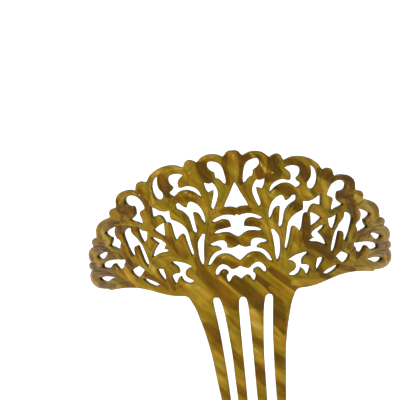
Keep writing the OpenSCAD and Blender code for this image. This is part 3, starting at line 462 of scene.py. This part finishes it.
def smooth_path(points, side=1):
    """Samples of a smooth curve through front-view points, on the unrolled sheet."""
    flat = [Vector((side * arc_length(x), z)) for x, z in points]
    flat = [2 * flat[0] - flat[1]] + flat + [2 * flat[-1] - flat[-2]]
    samples = []
    for p0, p1, p2, p3 in zip(flat, flat[1:], flat[2:], flat[3:]):
        count = max(2, int((p2 - p1).length / CURVE_STEP))
        for k in range(count):
            t = k / count
            bend = 2 * p0 - 5 * p1 + 4 * p2 - p3 + t * (3 * (p1 - p2) + p3 - p0)
            samples.append(p1 + 0.5 * t * (p2 - p0 + t * bend))
    samples.append(flat[-2])
    return samples


def around(path, reach):
    """The grid within reach of a path: its window, and over it two arrays.

    The first is the distance to the path, positive on the path's left. The second is how far along
    the path the nearest point is, from 0 to 1.
    """
    s = np.array([p.x for p in path])
    z = np.array([p.y for p in path])
    i0, i1 = [int((v - FIELD_LOW[0]) / FIELD_STEP) for v in (s.min() - reach, s.max() + reach)]
    j0, j1 = [int((v - FIELD_LOW[1]) / FIELD_STEP) for v in (z.min() - reach, z.max() + reach)]
    window = (slice(max(i0, 0), i1 + 2), slice(max(j0, 0), j1 + 2))
    grid_s = FIELD_LOW[0] + FIELD_STEP * np.arange(FIELD_SHAPE[0])[window[0], None]
    grid_z = FIELD_LOW[1] + FIELD_STEP * np.arange(FIELD_SHAPE[1])[None, window[1]]
    nearest = np.full((grid_s.shape[0], grid_z.shape[1]), 1e9)
    signed = np.zeros_like(nearest)
    along = np.zeros_like(nearest)
    for k in range(len(path) - 1):
        ds, dz = s[k + 1] - s[k], z[k + 1] - z[k]
        t = np.clip(((grid_s - s[k]) * ds + (grid_z - z[k]) * dz) / (ds * ds + dz * dz), 0, 1)
        off_s, off_z = grid_s - s[k] - t * ds, grid_z - z[k] - t * dz
        distance = np.hypot(off_s, off_z)
        closer = distance < nearest
        nearest = np.where(closer, distance, nearest)
        left = np.sign(ds * off_z - dz * off_s)
        signed = np.where(closer, distance * left, signed)
        along = np.where(closer, (k + t) / (len(path) - 1), along)
    return window, signed, along


carved_field = np.zeros(FIELD_SHAPE)
# Painted shade, 0 to 1, in the creases of the carving and in the beads' cuts
crease_shade_field = np.zeros(FIELD_SHAPE)
tone_field = np.zeros(FIELD_SHAPE)


def tapering(along, end):
    """1 in the middle of a path and smaller towards both ends. The larger end is, the less so."""
    return np.sqrt(np.sin(math.pi * (end + (1 - 2 * end) * along)))


def carve_step(width, depth, points, side):
    window, signed, along = around(smooth_path(points, side), abs(width))
    signed = signed * side * math.copysign(1, width)
    taper = tapering(along, CARVED_END)
    soft = np.clip(1 - signed / abs(width), 0, 1) ** SOFT_CURVE
    steep = np.clip(1 + signed / STEEP_SIDE, 0, 1) ** STEEP_CURVE
    shape = np.where(signed > 0, soft, steep) * taper
    carved_field[window] = np.maximum(carved_field[window], CARVING * depth * shape)
    # painted shade along the foot of the step
    crease_shade = np.clip(1 - np.abs(signed) / CREASE_SHADE_WIDTH, 0, 1) ** 2 * taper
    crease_shade_field[window] = np.maximum(crease_shade_field[window], crease_shade)


def gouge(half_width, depth, points, side):
    """A round-bottomed hollow, added to what is carved already."""
    window, signed, _ = around(smooth_path(points, side), half_width)
    carved_field[window] += depth * np.clip(1 - (signed / half_width) ** 2, 0, 1) ** 2


def cut_bead(x, z):
    """A bead left standing in a round cut, with a painted glint on top and painted shade in the cut.
    """
    centre = Vector((arc_length(x), z))
    reach = BEAD_RADIUS + BEAD_CUT
    # around() takes a path, so the centre becomes a very short one
    window, signed, _ = around([centre, centre + Vector((0.01, 0))], reach)
    distance = np.abs(signed)
    ring = np.clip(1 - np.abs(distance - BEAD_RADIUS) / BEAD_CUT, 0, 1)
    near = distance < reach
    carved_field[window] = np.where(near, BEAD_DEPTH * ring, carved_field[window])
    # painted shade in the cut ring
    crease_shade_field[window] = np.where(near, ring, crease_shade_field[window])
    # a painted glint on the bead
    tone_field[window] = np.where(distance < BEAD_RADIUS, BEAD_GLINT_TONE, tone_field[window])


def paint(tone, half_width, points):
    """Lays a tapering streak over the tones that are there."""
    window, signed, along = around(smooth_path(points), half_width)
    tapered = half_width * tapering(along, STREAK_END)
    share = np.clip((1 - np.abs(signed) / tapered) / STREAK_EDGE, 0, 1)
    share = STREAK_COVER * share * share * (3 - 2 * share)
    tone_field[window] += (tone - tone_field[window]) * share


for step in CARVED_STEPS:
    for side in (1, -1):
        carve_step(*step, side)
for hollow in HOLLOWS:
    for side in (1, -1):
        gouge(*hollow, side)
for streak in STREAKS:
    paint(*streak)
# The back keeps the marbling alone; the painted highlights and bead glints below go on the front only
back_tone_field = tone_field.copy()
for light in PAINTED_RIDGE_HIGHLIGHTS:
    paint(*light)
for bead in BEADS:
    cut_bead(*bead)


def read_field(field, s, z):
    """The field's values between its grid points."""
    i = np.clip((s - FIELD_LOW[0]) / FIELD_STEP, 0, FIELD_SHAPE[0] - 1.001)
    j = np.clip((z - FIELD_LOW[1]) / FIELD_STEP, 0, FIELD_SHAPE[1] - 1.001)
    i0, j0 = i.astype(int), j.astype(int)
    fi, fj = i - i0, j - j0
    low = field[i0, j0] * (1 - fi) + field[i0 + 1, j0] * fi
    high = field[i0, j0 + 1] * (1 - fi) + field[i0 + 1, j0 + 1] * fi
    return low * (1 - fj) + high * fj


def rounding(distance, radius):
    """How far a rounded edge has dropped at this distance from the outline."""
    return radius - np.sqrt(np.maximum(0, radius**2 - np.maximum(0, radius - distance) ** 2))


def soft_fall(distance, width, drop):
    """A broad soft fall towards the outline."""
    return drop * np.clip(1 - distance / width, 0, 1) ** 2


def on_teeth(z):
    """0 on the heading, 1 on the teeth, and between the two just under the heel bar."""
    return np.clip((TEETH_TOP - z) / TEETH_BLEND, 0, 1)


def front_depth(s, z, distance):
    """How far the carved front lies under the plain front face."""
    width, drop = FRONT_FALL
    fall = soft_fall(distance, width, drop + TOOTH_EXTRA_FALL * on_teeth(z))
    edge = rounding(distance, FRONT_ROUND) * FRONT_ROUND_SHARE + fall
    return edge + read_field(carved_field, s, z)


def back_depth(distance):
    """How far the smooth back lies inside the plain back face."""
    return rounding(distance, BACK_ROUND) * BACK_ROUND_SHARE + soft_fall(distance, *BACK_FALL)


# ---------------------------------------------------------------- meshing
def world(s, z, depth):
    """The place in the frame, in metres, of a point of the unrolled sheet."""
    angle = s / BEND_R
    radius = BEND_R - depth
    return Vector((radius * math.sin(angle), BEND_R - radius * math.cos(angle), z)) * MM


def thinned(points, kept):
    """Those points that lie at least POINT_GAP apart, and from the ones already kept."""
    cells, out = {}, []

    def cell(p):
        return int(p[0] // POINT_GAP), int(p[1] // POINT_GAP)

    def is_free(p):
        i, j = cell(p)
        around_p = [(a, b) for a in (i - 1, i, i + 1) for b in (j - 1, j, j + 1)]
        return all(
            (p[0] - q[0]) ** 2 + (p[1] - q[1]) ** 2 >= POINT_GAP * POINT_GAP
            for key in around_p
            for q in cells.get(key, ())
        )

    for p in kept:
        cells.setdefault(cell(p), []).append(p)
    for p in points:
        if is_free(p):
            cells.setdefault(cell(p), []).append(p)
            out.append(p)
    return out


def steps(p, q):
    """How many steps an edge is cut into. The 0.01 lets an edge of just one step stay whole."""
    return max(1, math.ceil((q - p).length / EDGE_STEP - 0.01))


def rim_points(name):
    """The points and edges along the rim, which the triangles have to follow."""
    outline, seams = rims[name]
    points, ids, edges = [], {}, []

    def index(p):
        key = flat_key(p.x, p.y)
        if key not in ids:
            ids[key] = len(points)
            points.append((p.x, p.y))
        return ids[key]

    for p, q in outline + seams:
        count = steps(p, q)
        chain = [index(p.lerp(q, k / count)) for k in range(count + 1)]
        edges += [(a, b) for a, b in zip(chain, chain[1:]) if a != b]
    return points, edges


def ring_points(name, tree):
    """Rows of points beside the outline, where the rounded edge bends most."""
    outline, _ = rims[name]
    found = []
    for row, offset in enumerate(RING_OFFSETS):
        stagger = 0.5 * (row % 2)
        for p, q in outline:
            along = q - p
            inward = Vector((-along.y, along.x)).normalized()
            count = steps(p, q)
            for k in range(count):
                m = p.lerp(q, (k + stagger) / count) + inward * offset
                if is_inside(tree, m.x, m.y) and abs(to_outline(m.x, m.y) - offset) < RING_SLACK:
                    found.append((m.x, m.y))
    return found


def lattice_points(name, tree):
    """A triangular lattice over the rest of the patch."""
    low, high = patches[name]["low"], patches[name]["high"]
    row_step = LATTICE_STEP * math.sqrt(3) / 2
    found = []
    for j in range(int(low[1] // row_step), int(high[1] // row_step) + 2):
        shift = 0.5 * (j % 2)
        for i in range(int(low[0] // LATTICE_STEP) - 1, int(high[0] // LATTICE_STEP) + 2):
            s, z = (i + shift) * LATTICE_STEP, j * row_step
            if is_inside(tree, s, z) and to_outline(s, z) > RING_OFFSETS[-1] + LATTICE_MARGIN:
                found.append((s, z))
    return found


def bead_points(tree):
    """Close rings of points, so that the small beads come out round."""
    found = []
    for x, z in BEADS:
        s = arc_length(x)
        found.append((s, z))
        for ring in range(1, BEAD_RINGS + 1):
            radius = ring * (BEAD_RADIUS + BEAD_CUT) / BEAD_RINGS
            count = int(math.tau * radius / BEAD_STEP)
            for k in range(count):
                angle = math.tau * k / count
                found.append((s + radius * math.cos(angle), z + radius * math.sin(angle)))
    return [p for p in found if is_inside(tree, *p) and to_outline(*p) > RING_OFFSETS[0]]


def triangulate(name):
    """Points and counter-clockwise triangles over the node's front patch, without slivers."""
    tree = patches[name]["tree"]
    rim, edges = rim_points(name)
    inner = thinned(bead_points(tree) + ring_points(name, tree) + lattice_points(name, tree), rim)
    every = [Vector(p) for p in rim + inner]
    # output type 0: triangles over everything, also where the patch is open, sorted out below
    points, _, faces, _, _, _ = delaunay_2d_cdt(every, edges, [], 0, MERGE_GAP, True)
    kept = []
    for face in faces:
        a, b, c = (points[i] for i in face)
        centre = (a + b + c) / 3
        if (b - a).cross(c - a) > SLIVER and is_inside(tree, centre.x, centre.y):
            kept.append(list(face))
    return points, kept


def build_piece(name):
    """The node's carved mesh: a front, a back and the walls between, and the count of front faces."""
    points, faces = triangulate(name)
    used = sorted({i for face in faces for i in face})
    new = {old: k for k, old in enumerate(used)}
    flat = [(points[i].x, points[i].y) for i in used]
    faces = [[new[i] for i in face] for face in faces]
    rim = rim_edges(faces)
    n = len(flat)
    s = np.array([p[0] for p in flat])
    z = np.array([p[1] for p in flat])
    distance = np.array([to_outline(*p) for p in flat])
    front = front_depth(s, z, distance)
    back = SHEET_T - back_depth(distance)
    # painted shade on the walls, fading inwards from the outline, none on the teeth
    sawn = (1 - on_teeth(z)) * np.clip(1 - distance / RIM_SHADE_REACH, 0, 1) ** 2
    labels = {
        "tone": (read_field(tone_field, s, z), read_field(back_tone_field, s, z)),
        "crease_shade": (read_field(crease_shade_field, s, z), np.zeros(n)),
        "sawn": (sawn, sawn),
    }
    verts = [world(*p, d) for p, d in zip(flat, front)] + [world(*p, d) for p, d in zip(flat, back)]
    # seen from the front (-Y), s to the right and z up: counter-clockwise faces look at the viewer
    polys = [tuple(face) for face in faces] + [tuple(n + i for i in reversed(face)) for face in faces]
    polys += [(b, a, n + a, n + b) for a, b in rim]
    mesh = bpy.data.meshes.new(name)
    mesh.from_pydata([tuple(v) for v in verts], [], polys)
    mesh.validate()
    for label, values in labels.items():
        mesh.attributes.new(label, "FLOAT", "POINT").data.foreach_set("value", np.concatenate(values))
    mesh.polygons.foreach_set("use_smooth", [True] * len(mesh.polygons))
    mesh.update()
    obj = bpy.data.objects.new(name + "_carved", mesh)
    bpy.context.scene.collection.objects.link(obj)
    return obj, len(faces)


def place_key(point):
    """Points of the mesh with the same key, to 0.01 mm, share a normal."""
    return tuple(round(c / MM, 2) for c in point)


def share_normals(pieces):
    """One smooth surface across the seams: a vertex takes the summed normals of all faces there.

    Walls along the outline count too, with less weight. Walls along a seam lie inside the sheet and
    don't. They come after the front and the back, which have front_count faces each.
    """
    total = {}
    for obj, front_count in pieces:
        mesh = obj.data
        for poly in mesh.polygons:
            weight = 1.0
            if poly.index >= 2 * front_count:
                s, z, _ = unrolled(poly.center)
                weight = WALL_WEIGHT if to_outline(s, z) < WALL_REACH else 0.0
            for i in poly.vertices:
                key = place_key(mesh.vertices[i].co)
                total[key] = total.get(key, Vector()) + poly.normal * poly.area * weight
    for obj, _ in pieces:
        mesh = obj.data
        normals = [total.get(place_key(v.co), v.normal).normalized() for v in mesh.vertices]
        mesh.normals_split_custom_set_from_vertices(normals)


# ---------------------------------------------------------------- material
# Colours from the darkest tone to the lightest
TONES = (
    (-1.0, (0.040, 0.014, 0.000)),
    (-0.5, (0.088, 0.038, 0.000)),
    (0.0, (0.130, 0.079, 0.001)),
    (0.5, (0.214, 0.128, 0.010)),
    (1.0, (0.330, 0.210, 0.040)),
)
# Painted shade on the walls and along the outline
RIM_SHADE = (0.016, 0.013, 0.003)
# Painted shade in the creases of the carving and in the beads' cuts
CREASE_SHADE = (0.030, 0.018, 0.001)
# A slow drift from a greener to a redder brown, as (noise value, tint)
TINTS = ((0.36, (0.92, 1.03, 1.1)), (0.64, (1.1, 0.93, 0.7)))
# How much two sizes of noise add to the tone, and the noises' scales along X, Y and Z
FINE_NOISE = 0.75
FINE_SCALE = (70, 90, 380)
BROAD_NOISE = 0.75
BROAD_SCALE = (40, 45, 130)
TINT_SCALE = (55, 60, 170)
NOISE_DISTORTION = 0.4
STREAK_LEAN = 45.0
# How strongly the painted shade in the creases and on the rim covers the colour
CREASE_SHADE_SHARE = 0.28
RIM_SHADE_SHARE = 0.9
ROUGHNESS = 0.25
SPECULAR = 0.36
SPECULAR_TINT = (1.0, 0.72, 0.15)


def celluloid(name):
    """Polished marbled celluloid: the streaks' tones with their painted highlights and glints, broken
    up by finer slanting streaks, and painted shade in the creases and along the rim.
    """
    mat = bpy.data.materials.new(name)
    mat.use_nodes = True
    tree = mat.node_tree
    nodes, links = tree.nodes, tree.links
    shader = nodes["Principled BSDF"]
    place = nodes.new("ShaderNodeTexCoord")

    def attribute(label):
        node = nodes.new("ShaderNodeAttribute")
        node.attribute_name = label
        return node.outputs["Fac"]

    def slanting_noise(scale, detail):
        turn = nodes.new("ShaderNodeMapping")
        turn.vector_type = "TEXTURE"
        turn.inputs["Rotation"].default_value = (0, math.radians(STREAK_LEAN), 0)
        turn.inputs["Scale"].default_value = [1 / k for k in scale]
        links.new(place.outputs["Object"], turn.inputs["Vector"])
        texture = nodes.new("ShaderNodeTexNoise")
        texture.inputs["Scale"].default_value = 1.0
        texture.inputs["Detail"].default_value = detail
        texture.inputs["Distortion"].default_value = NOISE_DISTORTION
        links.new(turn.outputs["Vector"], texture.inputs["Vector"])
        return texture.outputs["Fac"]

    def scaled_sum(first, factor, share):
        """first + factor * share, where first is a number or a socket."""
        node = nodes.new("ShaderNodeMath")
        node.operation = "MULTIPLY_ADD"
        links.new(factor, node.inputs[0])
        node.inputs[1].default_value = share
        if isinstance(first, float):
            node.inputs[2].default_value = first
        else:
            links.new(first, node.inputs[2])
        return node.outputs[0]

    def mixed(first, colour, factor, share):
        """The first colour, with the second over it where the factor is high."""
        mixer = nodes.new("ShaderNodeMix")
        mixer.data_type = "RGBA"
        links.new(scaled_sum(0.0, factor, share), mixer.inputs["Factor"])
        links.new(first, mixer.inputs["A"])
        mixer.inputs["B"].default_value = (*colour, 1)
        return mixer.outputs["Result"]

    def multiplied(first, second):
        mixer = nodes.new("ShaderNodeMix")
        mixer.data_type = "RGBA"
        mixer.blend_type = "MULTIPLY"
        mixer.inputs["Factor"].default_value = 1.0
        links.new(first, mixer.inputs["A"])
        links.new(second, mixer.inputs["B"])
        return mixer.outputs["Result"]

    def ramp(value, stops):
        """Colours between the stops, which are (position, colour) pairs."""
        node = nodes.new("ShaderNodeValToRGB")
        elements = node.color_ramp.elements
        while len(elements) < len(stops):
            elements.new(0.5)
        for element, (position, colour) in zip(elements, stops):
            element.position = position
            element.color = (*colour, 1)
        links.new(value, node.inputs["Fac"])
        return node.outputs["Color"]

    # tone -1..1 becomes 0..1 for the ramp, with noise around its middle value added
    tone = scaled_sum(0.5 - 0.5 * (FINE_NOISE + BROAD_NOISE), attribute("tone"), 0.5)
    tone = scaled_sum(tone, slanting_noise(FINE_SCALE, 3.0), FINE_NOISE)
    tone = scaled_sum(tone, slanting_noise(BROAD_SCALE, 2.0), BROAD_NOISE)
    marbling = ramp(tone, [(0.5 + 0.5 * level, colour) for level, colour in TONES])
    colour = multiplied(marbling, ramp(slanting_noise(TINT_SCALE, 2.0), TINTS))
    # painted shade in the creases of the carving
    colour = mixed(colour, CREASE_SHADE, attribute("crease_shade"), CREASE_SHADE_SHARE)
    # painted shade on the walls and along the outline
    colour = mixed(colour, RIM_SHADE, attribute("sawn"), RIM_SHADE_SHARE)
    links.new(colour, shader.inputs["Base Color"])
    shader.inputs["Roughness"].default_value = ROUGHNESS
    shader.inputs["Specular IOR Level"].default_value = SPECULAR
    shader.inputs["Specular Tint"].default_value = (*SPECULAR_TINT, 1)
    return mat


slot_of = {part["node"]: part["material_slot"] for part in frame["record"]["subparts"]}
materials = {slot: celluloid(slot) for slot in sorted(set(slot_of.values()))}

made = []
for name in frame["nodes"]:
    obj, front_count = build_piece(name)
    obj.data.materials.append(materials[slot_of[name]])
    made.append((obj, front_count))
    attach(obj, "root")
    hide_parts(name)
share_normals(made)

# ---------------------------------------------------------------- stage, in metres and watts
FLOOR_HALF = 6.0
FLOOR_COLOUR = (0.96, 0.96, 0.955)
FLOOR_ROUGHNESS = 0.9
# The studio's brightness at the level of the table and straight overhead, as (share of the way up
# from straight below, brightness)
STUDIO = ((0.5, 1.0), (1.0, 0.8))
COMB_MIDDLE = (0, 0, 0.03)


def add_floor():
    half = FLOOR_HALF
    level = cad_box[0][2]
    corners = [(-half, -half, level), (half, -half, level), (half, half, level), (-half, half, level)]
    mesh = bpy.data.meshes.new("floor")
    mesh.from_pydata(corners, [], [(0, 1, 2, 3)])
    mat = bpy.data.materials.new("floor")
    mat.use_nodes = True
    shader = mat.node_tree.nodes["Principled BSDF"]
    shader.inputs["Base Color"].default_value = (*FLOOR_COLOUR, 1)
    shader.inputs["Roughness"].default_value = FLOOR_ROUGHNESS
    mesh.materials.append(mat)
    floor = bpy.data.objects.new("floor", mesh)
    bpy.context.scene.collection.objects.link(floor)
    return floor


def add_studio():
    """A white surround, a little dimmer overhead."""
    studio = bpy.data.worlds.new("studio")
    studio.use_nodes = True
    nodes, links = studio.node_tree.nodes, studio.node_tree.links
    direction = nodes.new("ShaderNodeTexCoord")
    height = nodes.new("ShaderNodeSeparateXYZ")
    share = nodes.new("ShaderNodeMapRange")
    gradient = nodes.new("ShaderNodeValToRGB")
    share.inputs["From Min"].default_value = -1.0
    for element, (share_up, brightness) in zip(gradient.color_ramp.elements, STUDIO):
        element.position = share_up
        element.color = (brightness, brightness, brightness, 1)
    links.new(direction.outputs["Generated"], height.inputs["Vector"])
    links.new(height.outputs["Z"], share.inputs["Value"])
    links.new(share.outputs["Result"], gradient.inputs["Fac"])
    links.new(gradient.outputs["Color"], nodes["Background"].inputs["Color"])
    bpy.context.scene.world = studio


def area_light(name, place, target, size, power):
    data = bpy.data.lights.new(name, "AREA")
    data.size = size
    data.energy = power
    lamp = bpy.data.objects.new(name, data)
    bpy.context.scene.collection.objects.link(lamp)
    lamp.location = place
    lamp.rotation_mode = "QUATERNION"
    lamp.rotation_quaternion = (Vector(target) - Vector(place)).to_track_quat("-Z", "Y")


floor = add_floor()
add_studio()
area_light("key", (-0.6, -0.6, 1.0), COMB_MIDDLE, size=0.25, power=11)
area_light("fill", (0.9, -0.8, 0.3), COMB_MIDDLE, size=0.6, power=1.5)
area_light("overhead", (0, 0.4, 2.4), (0, 0.4, 0), size=5.0, power=60)

# ---------------------------------------------------------------- camera
# The camera stands in front of the comb and above it, at this distance from the origin
CAMERA_DISTANCE = 0.70
CAMERA_ELEVATION = 18.0
CAMERA_ROLL = 4.59
LENS = 126.0
SENSOR = 36.0
LOOK_AT = Vector((-0.0174, 0.0, 0.0518))


def add_camera():
    elevation = math.radians(CAMERA_ELEVATION)
    place = Vector((0, -math.cos(elevation), math.sin(elevation))) * CAMERA_DISTANCE
    # a camera looks along its own -Z
    backward = (place - LOOK_AT).normalized()
    right = Vector((0, 0, 1)).cross(backward).normalized()
    up = backward.cross(right)
    roll = math.radians(CAMERA_ROLL)
    tilted_right = right * math.cos(roll) - up * math.sin(roll)
    tilted_up = right * math.sin(roll) + up * math.cos(roll)
    turned = Matrix((tilted_right, tilted_up, backward)).transposed().to_4x4()
    turned.translation = place
    data = bpy.data.cameras.new("camera")
    data.lens = LENS
    data.sensor_width = SENSOR
    camera = bpy.data.objects.new("camera", data)
    bpy.context.scene.collection.objects.link(camera)
    camera.matrix_world = turned
    bpy.context.scene.camera = camera


add_camera()
# Standard keeps the browns as deep as they are given
bpy.context.scene.view_settings.view_transform = "Standard"
